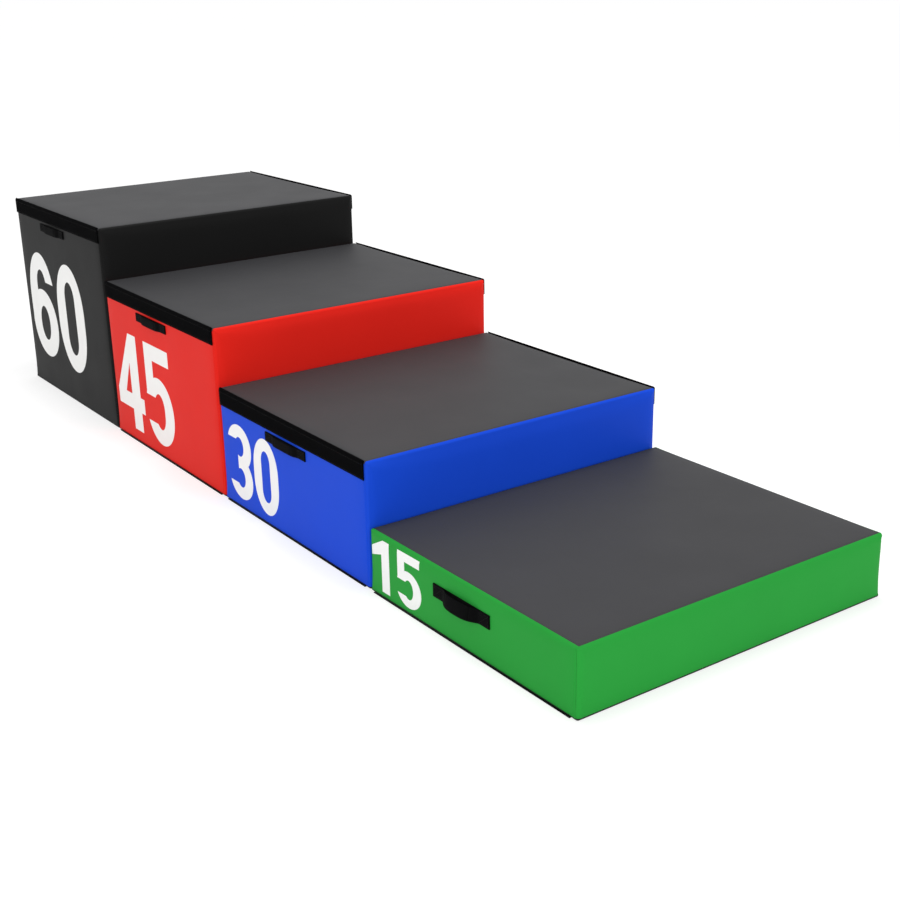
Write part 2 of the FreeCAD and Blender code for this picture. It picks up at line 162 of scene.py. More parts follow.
class PlyoTrim(bpy.types.PropertyGroup):
    """Straps, strips, flaps, zips and numbers"""

    patch: length("Strap patch", "Sewn length at each end of a strap", 36)
    webbing: length("Webbing", "Thickness of the strap's webbing", 2.6)
    # The tape behind a grip is a real backing, laid black to paint the shade in the gap between the bowed
    # grip and its panel.
    backing: length("Backing", "Thickness of the tape sewn flat behind a grip", 0.5)
    bend: length("Strap bend", "Reach of the webbing's own bend to each side", 5)
    patch_inset: length("Patch inset", "From the edge of a patch to its stitches", 4)
    slack: length("Slack bow", "Bow of a slack strap, which has a rounder arch than a taut one", 14)
    lean: bpy.props.FloatProperty(
        name="Lean", description="How much further out a slack grip's lower edge hangs than its middle",
        default=0.2, subtype="FACTOR", min=0, max=1,
    )
    strip_wrap: angle("Strip wrap", "How far a loop strip laps over the rounded top edge", 62)
    strip_sink: length("Strip sink", "How far the back of a loop strip sinks into its panel", 0.6)
    strip_inset: length("Strip inset", "From the edge of a loop strip to its stitches", 3.5)
    strip_thread: length("Strip thread", "How far a strip's stitches stand out of its loops", 0.1)
    print_lift: length("Print", "How far the printed number stands proud", 0.3)
    print_pitch: length("Print pitch", "Spacing of the print's grid, close enough to follow a panel", 4)
    leaf: length("Flap leaf", "Thickness of a hook flap without its hook tape", 1.2)
    hem: length("Flap hem", "Thickness of a hook flap along its hem", 1.7)
    fold: length("Flap fold", "Thickness of the fold that joins a flap's hem to its cover", 0.5)
    flap_corner: length("Flap corner", "Rounding of a flap's free corners", 12)
    hook_tape: length("Hook tape", "Thickness of the hook tape without its hooks", 0.6)
    tape_inset: length("Tape inset", "From the edge of a flap to its hook tape", 5)
    hook_inset: length("Hook inset", "From the edge of a flap to its hooks", 8)
    hook_pitch: length("Hook pitch", "From one hook of the flap to the next", 5)
    hook: lengths("Hook", "Size of one hook", 1.2, 0.8, 1.0)
    zip_tape: length("Zip tape", "Thickness of the zip's tape", 1.0)
    zip_edge: length("Zip edge", "Rounding of the zip tape's edges", 0.35)
    coil_apart: length("Coil apart", "From the middle of the zip to each coil", 1.6)
    coil_sink: length("Coil sink", "From the front of the zip to the middle of a coil", 1.0)
    turn: lengths("Coil turn", "Size of one turn of a coil", 1.7, 3.6, 2.0)
    turn_pitch: length("Turn pitch", "From one turn of a coil to the next", 2.2)
    turn_slant: angle("Turn slant", "Lean of a coil's turns", 12)


class PlyoColours(bpy.types.PropertyGroup):
    """Colours of the set"""

    top: colour("Top sheet", "Charcoal vinyl of the landing faces", "#343436")
    cover_60: colour("60 cm cover", "Charcoal vinyl of the tallest box", "#171717")
    cover_45: colour("45 cm cover", "Red vinyl", "#dc231a")
    cover_30: colour("30 cm cover", "Blue vinyl", "#1747cc")
    cover_15: colour("15 cm cover", "Green vinyl", "#279438")
    ink: colour("Number", "White screen print", "#f0f0ee")
    black: colour("Trim", "Black webbing, tapes and thread", "#060607")
    mat: colour("Base mat", "Black non-slip base", "#151516")
    foam: colour("Foam", "Foam core", "#cfcdc4")
    metal: colour("Zip metal", "Dark plated zip slider", "#5c5d60")
    floor: colour("Floor", "Pale studio floor", "#fafafa")


class PlyoStudio(bpy.types.PropertyGroup):
    """Camera and light"""

    eye: bpy.props.FloatVectorProperty(
        name="Eye", description="Place of the camera", default=(3.069, -1.868, 1.324),
        subtype="TRANSLATION", unit="LENGTH",
    )
    heading: angle("Heading", "Camera's turn about Z, from +Y", 54.9)
    tilt: angle("Tilt", "How far the camera looks down", 19.87)
    roll: angle("Roll", "Camera's turn about its line of sight", -1.17)
    lens: bpy.props.FloatProperty(
        name="Lens", description="Focal length on a 36 mm frame", default=55.28, subtype="DISTANCE_CAMERA"
    )
    sky: bpy.props.FloatProperty(
        name="Sky", description="Strength of the white surroundings", default=0.8, min=0
    )


# Nodes and materials


def feed(tree, node, inputs):
    """Give each named socket of a node its value, or a link from a socket or from a node's first output."""
    for name, source in inputs.items():
        if isinstance(source, bpy.types.Node):
            source = source.outputs[0]
        if isinstance(source, bpy.types.NodeSocket):
            tree.links.new(source, node.inputs[name])
        else:
            node.inputs[name].default_value = source


def add_node(tree, kind, inputs=None, **settings):
    """Add a node with its settings, and feed its sockets."""
    node = tree.nodes.new(kind)
    for name, setting in settings.items():
        setattr(node, name, setting)
    feed(tree, node, inputs or {})
    return node


def rgba(rgb):
    """A colour with full cover, as a socket takes it."""
    return (*rgb, 1)


def as_material(look):
    """Make a look into a material, once for each name; the look says what the shader's sockets take."""

    @functools.wraps(look)
    def named(name, rgb, **numbers):
        if name in bpy.data.materials:
            return bpy.data.materials[name]
        made = bpy.data.materials.new(name)
        made.use_nodes = True
        tree = made.node_tree
        feed(tree, tree.nodes["Principled BSDF"], look(tree, rgb, **numbers))
        return made

    return named


def pattern(tree, kind, size, inputs=None, **settings):
    """Add a texture that is fixed to its piece, with a pattern of the given size."""
    place = add_node(tree, "ShaderNodeTexCoord").outputs["Object"]
    fixed = {"Vector": place, "Scale": 1 / size, **(inputs or {})}
    return add_node(tree, f"ShaderNodeTex{kind}", fixed, **settings)


def varied(tree, rgb, spread, size):
    """A colour that drifts a little lighter and darker over patches of the given size."""
    drift = pattern(tree, "Noise", size, {"Detail": 3})
    levels = {"Value": drift, "To Min": 1 - spread, "To Max": 1 + spread}
    share = add_node(tree, "ShaderNodeMapRange", levels)
    return add_node(tree, "ShaderNodeHueSaturation", {"Value": share, "Color": rgba(rgb)})


@as_material
def vinyl(tree, rgb, roughness, specular):
    """Polyester coated with PVC and embossed with a leather grain: an even colour with a soft satin sheen."""
    # The grain's cells are about 1.5 mm across; they are drawn at 3 mm to show at all.
    cells = pattern(tree, "Voronoi", 3 * MM, {"Randomness": 0.9})
    # The base cloth's threads print through as a faint unevenness about 40 mm long.
    waves = pattern(tree, "Noise", 40 * MM, {"Detail": 2})
    broad = {"Height": waves, "Strength": 0.25, "Distance": 0.6 * MM}
    swells = add_node(tree, "ShaderNodeBump", broad)
    fine = {"Height": cells, "Strength": 0.25, "Distance": 0.12 * MM, "Normal": swells}
    # Handling leaves patches of about 150 mm a little duller or shinier.
    rubbed = pattern(tree, "Noise", 150 * MM, {"Detail": 4})
    levels = {"Value": rubbed, "To Min": roughness - 0.06, "To Max": roughness + 0.06}
    return {
        "Base Color": varied(tree, rgb, spread=0.06, size=220 * MM),
        "Roughness": add_node(tree, "ShaderNodeMapRange", levels),
        "Normal": add_node(tree, "ShaderNodeBump", fine),
        "Specular IOR Level": specular,
    }


@as_material
def woven(tree, rgb, warp, weft, depth, sheen):
    """Polyester weave, threads along X and Z: dull, with a soft sheen where the threads turn away."""
    # At a scale of 1 the bands that draw the threads are pi / 10 wide.
    bands = {}
    for number, (direction, spacing) in enumerate((("X", weft), ("Z", warp))):
        loose = {"Distortion": 0.4, "Detail Scale": 2}
        wave = pattern(tree, "Wave", 10 / math.pi * spacing, loose, bands_direction=direction)
        bands[number] = wave.outputs["Fac"]
    cross = add_node(tree, "ShaderNodeMath", bands, operation="MULTIPLY")
    relief = {"Height": cross, "Strength": 0.8, "Distance": depth}
    return {
        "Base Color": varied(tree, rgb, spread=0.15, size=30 * MM),
        "Normal": add_node(tree, "ShaderNodeBump", relief),
        "Roughness": 0.85,
        "Specular IOR Level": 0.04,
        "Sheen Weight": sheen,
        "Sheen Roughness": 0.6,
    }


@as_material
def pile(tree, rgb, tuft, depth):
    """Brushed nylon loops of a loop tape: a deep matt black that scatters light among its fibres."""
    tufts = pattern(tree, "Noise", tuft, {"Detail": 3, "Roughness": 0.7})
    relief = {"Height": tufts, "Strength": 1, "Distance": depth}
    return {
        "Base Color": varied(tree, rgb, spread=0.3, size=6 * MM),
        "Normal": add_node(tree, "ShaderNodeBump", relief),
        "Roughness": 1,
        "Specular IOR Level": 0.02,
        "Sheen Weight": 0.002,
    }


@as_material
def screen_print(tree, rgb):
    """White vinyl ink pressed through a screen: near white, uneven where it sank into the grain."""
    # Ink lies over the vinyl's grain, drawn at the same 3 mm.
    cells = pattern(tree, "Voronoi", 3 * MM, {"Randomness": 0.9})
    relief = {"Height": cells, "Strength": 0.2, "Distance": 0.08 * MM}
    return {
        "Base Color": varied(tree, rgb, spread=0.02, size=30 * MM),
        "Normal": add_node(tree, "ShaderNodeBump", relief),
        "Roughness": 0.5,
        "Specular IOR Level": 0.3,
    }


@as_material
def pebbled_mat(tree, rgb):
    """Rubber-backed base cloth moulded with 5 mm pebbles, so that it grips the floor: dull black."""
    pebbles = pattern(tree, "Voronoi", 5 * MM, feature="SMOOTH_F1")
    relief = {"Height": pebbles, "Strength": 0.8, "Distance": 0.5 * MM}
    return {
        "Base Color": varied(tree, rgb, spread=0.2, size=60 * MM),
        "Normal": add_node(tree, "ShaderNodeBump", relief, invert=True),
        "Roughness": 0.75,
        "Specular IOR Level": 0.25,
    }


@as_material
def cellular_foam(tree, rgb):
    """Cut polyurethane foam: a pale matt face full of open cells a little over 1 mm across."""
    cells = pattern(tree, "Voronoi", 1.2 * MM)
    relief = {"Height": cells, "Strength": 1, "Distance": 0.6 * MM}
    return {
        "Base Color": varied(tree, rgb, spread=0.08, size=20 * MM),
        "Normal": add_node(tree, "ShaderNodeBump", relief),
        "Roughness": 0.95,
    }


@as_material
def plated_zinc(tree, rgb):
    """Die-cast zinc with a dark nickel plate: a soft metal gloss, brighter where fingers have rubbed it."""
    # A fingertip rubs spots of about 4 mm on pieces this small.
    rubbed = pattern(tree, "Noise", 4 * MM, {"Detail": 5})
    levels = {"Value": rubbed, "To Min": 0.22, "To Max": 0.42}
    return {
        "Base Color": varied(tree, rgb, spread=0.12, size=5 * MM),
        "Roughness": add_node(tree, "ShaderNodeMapRange", levels),
        "Metallic": 1,
    }


def shown(tree):
    """1 on rays that bring the background to the eye, straight or by way of gloss or glass, or else 0."""
    path = add_node(tree, "ShaderNodeLightPath").outputs
    straight = {0: path["Is Camera Ray"], 1: path["Is Glossy Ray"]}
    either = add_node(tree, "ShaderNodeMath", straight, operation="MAXIMUM")
    through = {0: either, 1: path["Is Transmission Ray"]}
    return add_node(tree, "ShaderNodeMath", through, operation="MAXIMUM")


@as_material
def studio_paper(tree, rgb):
    """Pale paper of a studio floor: to the eye half of its light is its own, so a shadow on it stays pale."""
    seen = shown(tree)
    share = add_node(tree, "ShaderNodeMapRange", {"Value": seen, "To Min": 1, "To Max": 0.5})
    tint = {"Value": share, "Color": rgba(rgb)}
    glow = add_node(tree, "ShaderNodeMapRange", {"Value": seen, "To Min": 0, "To Max": 0.62})
    return {
        "Base Color": add_node(tree, "ShaderNodeHueSaturation", tint),
        "Emission Strength": glow,
        "Emission Color": (1, 1, 1, 1),
        "Roughness": 0.9,
        "Specular IOR Level": 0,
    }


# Mesh helpers

ROUND_STEPS = 3


def make_object(name, points, faces, material, edges=()):
    """A smooth-shaded mesh object at the origin, with its place in its mesh."""
    mesh = bpy.data.meshes.new(name)
    mesh.from_pydata([tuple(point) for point in points], edges, faces)
    mesh.shade_smooth()
    mesh.materials.append(material)
    piece = bpy.data.objects.new(name, mesh)
    bpy.context.scene.collection.objects.link(piece)
    return piece


def settle(piece, body, slot, *nodes):
    """Let a piece ride on its body and stand for nodes of the frame; its slot is not used."""
    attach(piece, body)
    if nodes:
        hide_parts(*nodes)
    return piece


def refinish(node, material):
    """Give a node of the frame that stays in view its own finish."""
    slots = frame["nodes"][node].data.materials
    slots.clear()
    slots.append(material)


def evenly(low, high, count):
    """Places from low to high in a count of equal steps."""
    return [low + (high - low) * step / count for step in range(count + 1)]


def solid(name, stations, material):
    """A closed piece through outlines of equal count, with its ends closed and its faces outwards."""
    count = len(stations[0])
    last = (len(stations) - 1) * count
    points = [point for outline in stations for point in outline]
    faces = []
    for start in range(0, last, count):
        for step in range(count):
            following = (step + 1) % count
            faces.append((start + step, start + following, start + count + following, start + count + step))
    faces.append(tuple(range(count))[::-1])
    faces.append(tuple(range(last, last + count)))
    piece = make_object(name, points, faces, material)
    shape = bmesh.new()
    shape.from_mesh(piece.data)
    bmesh.ops.recalc_face_normals(shape, faces=shape.faces)
    shape.to_mesh(piece.data)
    shape.free()
    return piece


def rounded_section(wide, thick, radius):
    """A closed outline of a band: pairs of (across, out), centred across and standing on zero."""
    outline = []
    for side, level, start in ((1, 1, 0), (-1, 1, 90), (-1, -1, 180), (1, -1, 270)):
        across, out = side * (wide / 2 - radius), thick / 2 + level * (thick / 2 - radius)
        for turn in evenly(math.radians(start), math.radians(start + 90), ROUND_STEPS):
            outline.append((across + radius * math.cos(turn), out + radius * math.sin(turn)))
    return outline


def beside(path, reach):
    """A line of (out, up) pairs moved sideways by a reach."""
    moved = []
    for number, (out, up) in enumerate(path):
        before, after = path[max(0, number - 1)], path[min(len(path) - 1, number + 1)]
        run = Vector((after[0] - before[0], after[1] - before[1])).normalized()
        moved.append((out + run.y * reach, up - run.x * reach))
    return moved


# Stitches, hooks and coil turns: shapes that repeat along a line


def row_tree():
    """Geometry nodes that set one small rounded shape after another along the edges of a mesh."""
    name = "shapes_in_a_row"
    if name in bpy.data.node_groups:
        return bpy.data.node_groups[name]
    tree = bpy.data.node_groups.new(name, "GeometryNodeTree")
    sockets = {
        "Lines": "Geometry", "Pitch": "Float", "Size": "Vector", "Slant": "Float", "Material": "Material",
    }
    for socket, kind in sockets.items():
        tree.interface.new_socket(socket, in_out="INPUT", socket_type=f"NodeSocket{kind}")
    tree.interface.new_socket("Shapes", in_out="OUTPUT", socket_type="NodeSocketGeometry")
    given = add_node(tree, "NodeGroupInput").outputs
    lines = add_node(tree, "GeometryNodeMeshToCurve", {"Mesh": given["Lines"]})
    spaced = {"Curve": lines, "Length": given["Pitch"]}
    spots = add_node(tree, "GeometryNodeResampleCurve", spaced, mode="LENGTH")
    ahead = {"Vector": add_node(tree, "GeometryNodeInputTangent")}
    facing = add_node(tree, "FunctionNodeAlignRotationToVector", ahead, axis="X")
    slant = add_node(tree, "ShaderNodeCombineXYZ", {"Z": given["Slant"]})
    turn = {"Rotation": facing, "Rotate By": slant}
    turned = add_node(tree, "FunctionNodeRotateRotation", turn, rotation_space="LOCAL")
    bead = add_node(tree, "GeometryNodeMeshUVSphere", {"Segments": 6, "Rings": 4, "Radius": 0.5})
    shape = add_node(tree, "GeometryNodeTransform", {"Geometry": bead, "Scale": given["Size"]})
    placed = {"Points": spots, "Instance": shape, "Rotation": turned}
    row = add_node(tree, "GeometryNodeInstanceOnPoints", placed)
    real = add_node(tree, "GeometryNodeRealizeInstances", {"Geometry": row})
    smooth = add_node(tree, "GeometryNodeSetShadeSmooth", {"Geometry": real})
    coated = add_node(tree, "GeometryNodeSetMaterial", {"Geometry": smooth, "Material": given["Material"]})
    add_node(tree, "NodeGroupOutput", {"Shapes": coated})
    return tree


def shapes_in_a_row(name, lines, material, pitch, size, slant=0.0):
    """One plain mesh of small shapes set along lines, each a list of points."""
    points, edges = [], []
    for line in lines:
        edges.extend((len(points) + step, len(points) + step + 1) for step in range(len(line) - 1))
        points.extend(line)
    piece = make_object(name, points, [], material, edges)
    modifier = piece.modifiers.new("Row", "NODES")
    modifier.node_group = row_tree()
    inputs = {"Pitch": pitch, "Size": tuple(size), "Slant": slant, "Material": material}
    for socket in modifier.node_group.interface.items_tree:
        if socket.in_out == "INPUT" and socket.name in inputs:
            modifier[socket.identifier] = inputs[socket.name]
    graph = bpy.context.evaluated_depsgraph_get()
    mesh = bpy.data.meshes.new_from_object(piece.evaluated_get(graph), depsgraph=graph)
    piece.modifiers.remove(modifier)
    bare = piece.data
    piece.data = mesh
    bpy.data.meshes.remove(bare)
    mesh.name = name
    return piece


def stitches(name, lines, material):
    """Rows of stitches along lines, each a list of points."""
    sizes = bpy.context.scene.plyo_covers
    size = (sizes.stitch_long, sizes.thread, sizes.thread)
    return shapes_in_a_row(name, lines, material, sizes.stitch_pitch, size)


def sewing_thread(colours):
    """Black polyester thread, which lies flat and dull on the piece that it holds."""
    # Its strands are about 0.3 mm apart; they are drawn at 0.6 mm to show at all.
    spacing = 0.6 * MM
    return woven("black thread", colours.black, warp=spacing, weft=spacing, depth=0.1 * MM, sheen=0.1)


# Covers

ARC_STEPS = 4
STITCH_STEP = 2


def knots(low, high, radius, sizes, foot=False):
    """Grid lines from edge to edge: even angles round an edge, its seam, its stitches, then even steps."""
    arc = [radius * (1 - math.tan(turn)) for turn in evenly(math.radians(45), 0, ARC_STEPS)]
    inner = [sizes.seam_near, sizes.stitch_inset, sizes.seam_far]
    edge = np.array([*arc, *(radius + step for step in inner)])
    start = np.array([0, *inner]) if foot else edge
    span = (high - edge[-1]) - (low + start[-1])
    count = max(2, round(span / sizes.pitch))
    middle = np.linspace(low + start[-1], high - edge[-1], count + 1)
    return np.concatenate([low + start[:-1], middle, (high - edge[:-1])[::-1]])


class Cover:
    """The outside of one box's cover as a grid of cloth, drawn in by the swell that it takes later."""

    def __init__(self, mark, sizes):
        self.mark = mark
        self.banded = mark in BANDED
        low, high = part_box(f"riser_panels_{mark}")
        self.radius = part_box(f"top_sheet_{mark}")[0].x - low.x
        self.low = np.array(low) + (sizes.swell, sizes.swell, -sizes.foot_lap)
        self.high = np.array(high) - sizes.swell
        self.axes = [
            knots(self.low[axis], self.high[axis], self.radius, sizes, foot=axis == 2) for axis in range(3)
        ]
        self.last = [len(axis) - 1 for axis in self.axes]
        self.index = {}
        sharp = []
        self.faces = []
        self.panels = []
        for corners in self.quads():
            face = []
            for key in corners:
                if key not in self.index:
                    self.index[key] = len(sharp)
                    sharp.append([self.axes[axis][key[axis]] for axis in range(3)])
                face.append(self.index[key])
            self.faces.append(face)
            self.panels.append(self.panel(np.mean([sharp[number] for number in face], axis=0)))
        self.block = self.rounded(np.array(sharp))
        self.points = self.block.copy()

    def quads(self):
        """The four grid corners of every face: the top, then the sides, all facing outwards."""
        across, along, up = self.last
        for i in range(across):
            for j in range(along):
                yield (i, j, up), (i + 1, j, up), (i + 1, j + 1, up), (i, j + 1, up)
            for k in range(up):
                yield (i, 0, k), (i + 1, 0, k), (i + 1, 0, k + 1), (i, 0, k + 1)
                yield (i, along, k), (i, along, k + 1), (i + 1, along, k + 1), (i + 1, along, k)
        for j in range(along):
            for k in range(up):
                yield (across, j, k), (across, j + 1, k), (across, j + 1, k + 1), (across, j, k + 1)
                yield (0, j, k), (0, j, k + 1), (0, j + 1, k + 1), (0, j + 1, k)

    def rounded(self, sharp):
        """Points of a sharp block moved on to the block with rounded sides and top."""
        inner_low = self.low + (self.radius, self.radius, 0)
        core = np.clip(sharp, inner_low, self.high - self.radius)
        out = sharp - core
        reach = np.linalg.norm(out, axis=1, keepdims=True)
        return core + self.radius * out / reach

    def panel(self, middle):
        """The panel that a face belongs to, by its middle on the sharp block."""
        seam_low, seam_high = self.low + self.radius, self.high - self.radius
        if not seam_low[0] < middle[0] < seam_high[0]:
            return "riser_panels"
        on_top = middle[2] > self.high[2] - MM / 1000
        if self.banded:
            return "top_sheet" if on_top or middle[2] > seam_high[2] else "end_panels"
        return "top_sheet" if on_top and seam_low[1] < middle[1] < seam_high[1] else "end_panels"

    def sewn(self):
        """Numbers of the points on a seam or on the foot."""
        owners = {}
        for face, panel in zip(self.faces, self.panels):
            for number in face:
                owners.setdefault(number, set()).add(panel)
        foot = {number for key, number in self.index.items() if key[2] == 0}
        return sorted(foot | {number for number, panels in owners.items() if len(panels) > 1})

    def normals(self):
        """Outward direction at every point of the grid."""
        total = np.zeros_like(self.points)
        corners = self.points[np.array(self.faces)]
        facing = np.cross(corners[:, 2] - corners[:, 0], corners[:, 3] - corners[:, 1])
        for step in range(4):
            np.add.at(total, np.array(self.faces)[:, step], facing)
        return total / np.linalg.norm(total, axis=1, keepdims=True)

    def cloth(self, sizes):
        """The grid as a cloth object, pinned along its seams and foot and pushed out by the foam."""
        sheet = make_object(f"cloth_{self.mark}", self.points, self.faces, None)
        pins = sheet.vertex_groups.new(name="sewn")
        pins.add(self.sewn(), 1, "REPLACE")
        push = sheet.modifiers.new("Foam", "CLOTH")
        fabric = push.settings
        fabric.quality = 4
        fabric.mass = 0.4
        fabric.tension_stiffness = fabric.compression_stiffness = 12
        fabric.bending_stiffness = 4
        fabric.vertex_group_mass = pins.name
        fabric.use_pressure = True
        fabric.uniform_pressure_force = sizes.pressure
        fabric.effector_weights.gravity = 0
        push.collision_settings.use_collision = False
        push.point_cache.frame_end = sizes.frames
        return sheet

    def line(self, keys):
        """Points of the finished cover along a row of grid corners."""
        return [self.points[self.index[key]] for key in keys]


def swell_covers(covers, sizes):
    """Push the cloth of every cover out between its seams, no further than the swell."""
    scene = bpy.context.scene
    sheets = [cover.cloth(sizes) for cover in covers]
    for number in range(1, sizes.frames + 1):
        scene.frame_set(number)
    graph = bpy.context.evaluated_depsgraph_get()
    for cover, sheet in zip(covers, sheets):
        pushed = np.empty(len(cover.points) * 3)
        sheet.evaluated_get(graph).data.vertices.foreach_get("co", pushed)
        moved = pushed.reshape(-1, 3) - cover.points
        far = np.linalg.norm(moved, axis=1, keepdims=True)
        taken = sizes.swell * np.tanh(far / sizes.crown)
        cover.points = cover.points + moved / np.maximum(far, MM / 1000) * taken
    scene.frame_set(1)
    for sheet in sheets:
        mesh = sheet.data
        bpy.data.objects.remove(sheet)
        bpy.data.meshes.remove(mesh)


def draw_in_seams(cover, sizes):
    """Pull every seam a little below the panels that it joins."""
    seams = cover.sewn()
    cover.points[seams] -= cover.normals()[seams] * (sizes.seam_dip, sizes.seam_dip, 0)


def square_foot(cover, sizes):
    """Bring the foot out over the edge of the base mat, and ease that into the panels above."""
    rise = (cover.block[:, 2] - cover.low[2]) / sizes.foot_ease
    share = np.clip(1 - rise, 0, 1)[:, None] ** 2
    level = cover.normals() * (1, 1, 0)
    taken = ((cover.points - cover.block) * level).sum(axis=1, keepdims=True)
    cover.points = cover.points + level * share * (sizes.swell + sizes.foot_proud - taken)


def cover_panel(cover, panel, material, sizes):
    """One panel of a cover, or a pair of panels, as coated fabric with its real thickness."""
    faces = [face for face, owner in zip(cover.faces, cover.panels) if owner == panel]
    used = sorted({number for face in faces for number in face})
    place = {number: spot for spot, number in enumerate(used)}
    moved = [[place[number] for number in face] for face in faces]
    piece = make_object(f"{panel}_{cover.mark}_vinyl", cover.points[used], moved, material)
    fabric = piece.modifiers.new("Fabric", "SOLIDIFY")
    fabric.thickness = sizes.vinyl
    fabric.offset = -1
    return piece


def seam_lines(cover):
    """Rows of stitches on the top sheet, and on the end panels and round the foot."""
    across, along, up = cover.last
    seam, foot = ARC_STEPS, STITCH_STEP
    row = seam + STITCH_STEP
    rows_x, rows_y = (row, across - row), (row, along - row)
    tops = [cover.line([(i, j, up) for j in range(seam, along - seam + 1)]) for i in rows_x]
    if not cover.banded:
        tops += [cover.line([(i, j, up) for i in range(row, across - row + 1)]) for j in rows_y]
    sides = []
    for j in (0, along):
        sides += [cover.line([(i, j, k) for k in range(foot, up - seam + 1)]) for i in rows_x]
    ring = [(i, 0, foot) for i in range(across)] + [(across, j, foot) for j in range(along)]
    ring += [(i, along, foot) for i in range(across, 0, -1)] + [(0, j, foot) for j in range(along, -1, -1)]
    sides.append(cover.line(ring))
    return tops, sides


class PLYO_OT_foam(bpy.types.Operator):
    """Make the foam planks inside every cover"""

    bl_idname = "plyo.foam"
    bl_label = "Foam planks"

    def execute(self, context):
        sizes, colours = context.scene.plyo_covers, context.scene.plyo_colours
        foam = cellular_foam("cut polyurethane foam", colours.foam)
        for mark in MARKS:
            low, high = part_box(f"riser_panels_{mark}")
            low = low + Vector((sizes.foam_inset, sizes.foam_inset, sizes.foam_lift))
            high = high - Vector((sizes.foam_inset,) * 3)
            count = max(1, round((high.z - low.z) / sizes.plank))
            tall = (high.z - low.z) / count
            shape = bmesh.new()
            for level in range(count):
                made = bmesh.ops.create_cube(shape, size=1)["verts"]
                bmesh.ops.scale(shape, vec=(high.x - low.x, high.y - low.y, tall), verts=made)
                middle = ((low.x + high.x) / 2, (low.y + high.y) / 2, low.z + tall * (level + 0.5))
                bmesh.ops.translate(shape, vec=middle, verts=made)
            bmesh.ops.bevel(
                shape, geom=shape.edges[:], offset=sizes.foam_edge, segments=2, affect="EDGES", profile=0.5
            )
            piece = make_object(f"foam_block_{mark}", [], [], foam)
            shape.to_mesh(piece.data)
            shape.free()
            settle(piece, f"box_{mark}", "foam", f"foam_planks_{mark}")
        return {"FINISHED"}


class PLYO_OT_covers(bpy.types.Operator):
    """Make the top sheets, end panels and riser panels with their stitched seams"""

    bl_idname = "plyo.covers"
    bl_label = "Covers"

    def execute(self, context):
        sizes, colours = context.scene.plyo_covers, context.scene.plyo_colours
        covers = [Cover(mark, sizes) for mark in MARKS]
        swell_covers(covers, sizes)
        charcoal = vinyl("charcoal landing vinyl", colours.top, roughness=0.6, specular=0.2)
        for cover in covers:
            draw_in_seams(cover, sizes)
            square_foot(cover, sizes)
            body, mark = f"box_{cover.mark}", cover.mark
            rgb = getattr(colours, f"cover_{mark}")
            coloured = vinyl(f"coated vinyl {mark}", rgb, roughness=0.42, specular=0.04)
            for panel in ("top_sheet", "end_panels", "riser_panels"):
                finish = charcoal if panel == "top_sheet" else coloured
                node = f"{panel}_{mark}"
                piece = cover_panel(cover, panel, finish, sizes)
                settle(piece, body, SLOTS[node], node)
            tops, sides = seam_lines(cover)
            settle(stitches(f"top_stitches_{mark}", tops, charcoal), body, "vinyl_top")
            settle(stitches(f"side_stitches_{mark}", sides, coloured), body, SLOTS[f"end_panels_{mark}"])
        return {"FINISHED"}


class PLYO_OT_numbers(bpy.types.Operator):
    """Print the height numbers on the near end panels"""

    bl_idname = "plyo.numbers"
    bl_label = "Height numbers"

    def execute(self, context):
        trim = context.scene.plyo_trim
        ink = screen_print("white screen print", context.scene.plyo_colours.ink)
        for mark in MARKS:
            node = f"number_{mark}"
            shape = self.front(node, trim.print_pitch)
            self.lay(shape, mark, trim)
            piece = make_object(f"number_{mark}_print", [], [], ink)
            shape.to_mesh(piece.data)
            shape.free()
            film = piece.modifiers.new("Film", "SOLIDIFY")
            film.thickness = trim.print_lift
            film.offset = -1
            settle(piece, f"box_{mark}", "white_print", node)
        return {"FINISHED"}

    @staticmethod
    def front(node, pitch):
        """The front of a number's solid, cut along a grid so that it can follow its panel."""
        low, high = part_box(node)
        shape = bmesh.new()
        shape.from_mesh(frame["nodes"][node].data)
        bmesh.ops.remove_doubles(shape, verts=shape.verts, dist=MM / 100)
        hidden = [face for face in shape.faces if face.normal.y > -0.9]
        bmesh.ops.delete(shape, geom=hidden, context="FACES")
        for axis, normal in ((0, Vector((1, 0, 0))), (2, Vector((0, 0, 1)))):
            for step in np.arange(low[axis] + pitch, high[axis], pitch):
                everything = shape.verts[:] + shape.edges[:] + shape.faces[:]
                bmesh.ops.bisect_plane(shape, geom=everything, plane_co=normal * step, plane_no=normal)
        return shape

    @staticmethod
    def lay(shape, mark, trim):
        """Move every point of a number on to its end panel."""
        panel = bpy.data.objects[f"end_panels_{mark}_vinyl"].data
        faces = [polygon.vertices for polygon in panel.polygons]
        surface = BVHTree.FromPolygons([vert.co for vert in panel.vertices], faces)
        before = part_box(f"number_{mark}")[0].y - trim.print_pitch
        for vert in shape.verts:
            hit = surface.ray_cast(Vector((vert.co.x, before, vert.co.z)), Vector((0, 1, 0)))[0]
            if hit is None:
                raise RuntimeError(f"number {mark} reaches past its panel")
            vert.co.y = hit.y - trim.print_lift


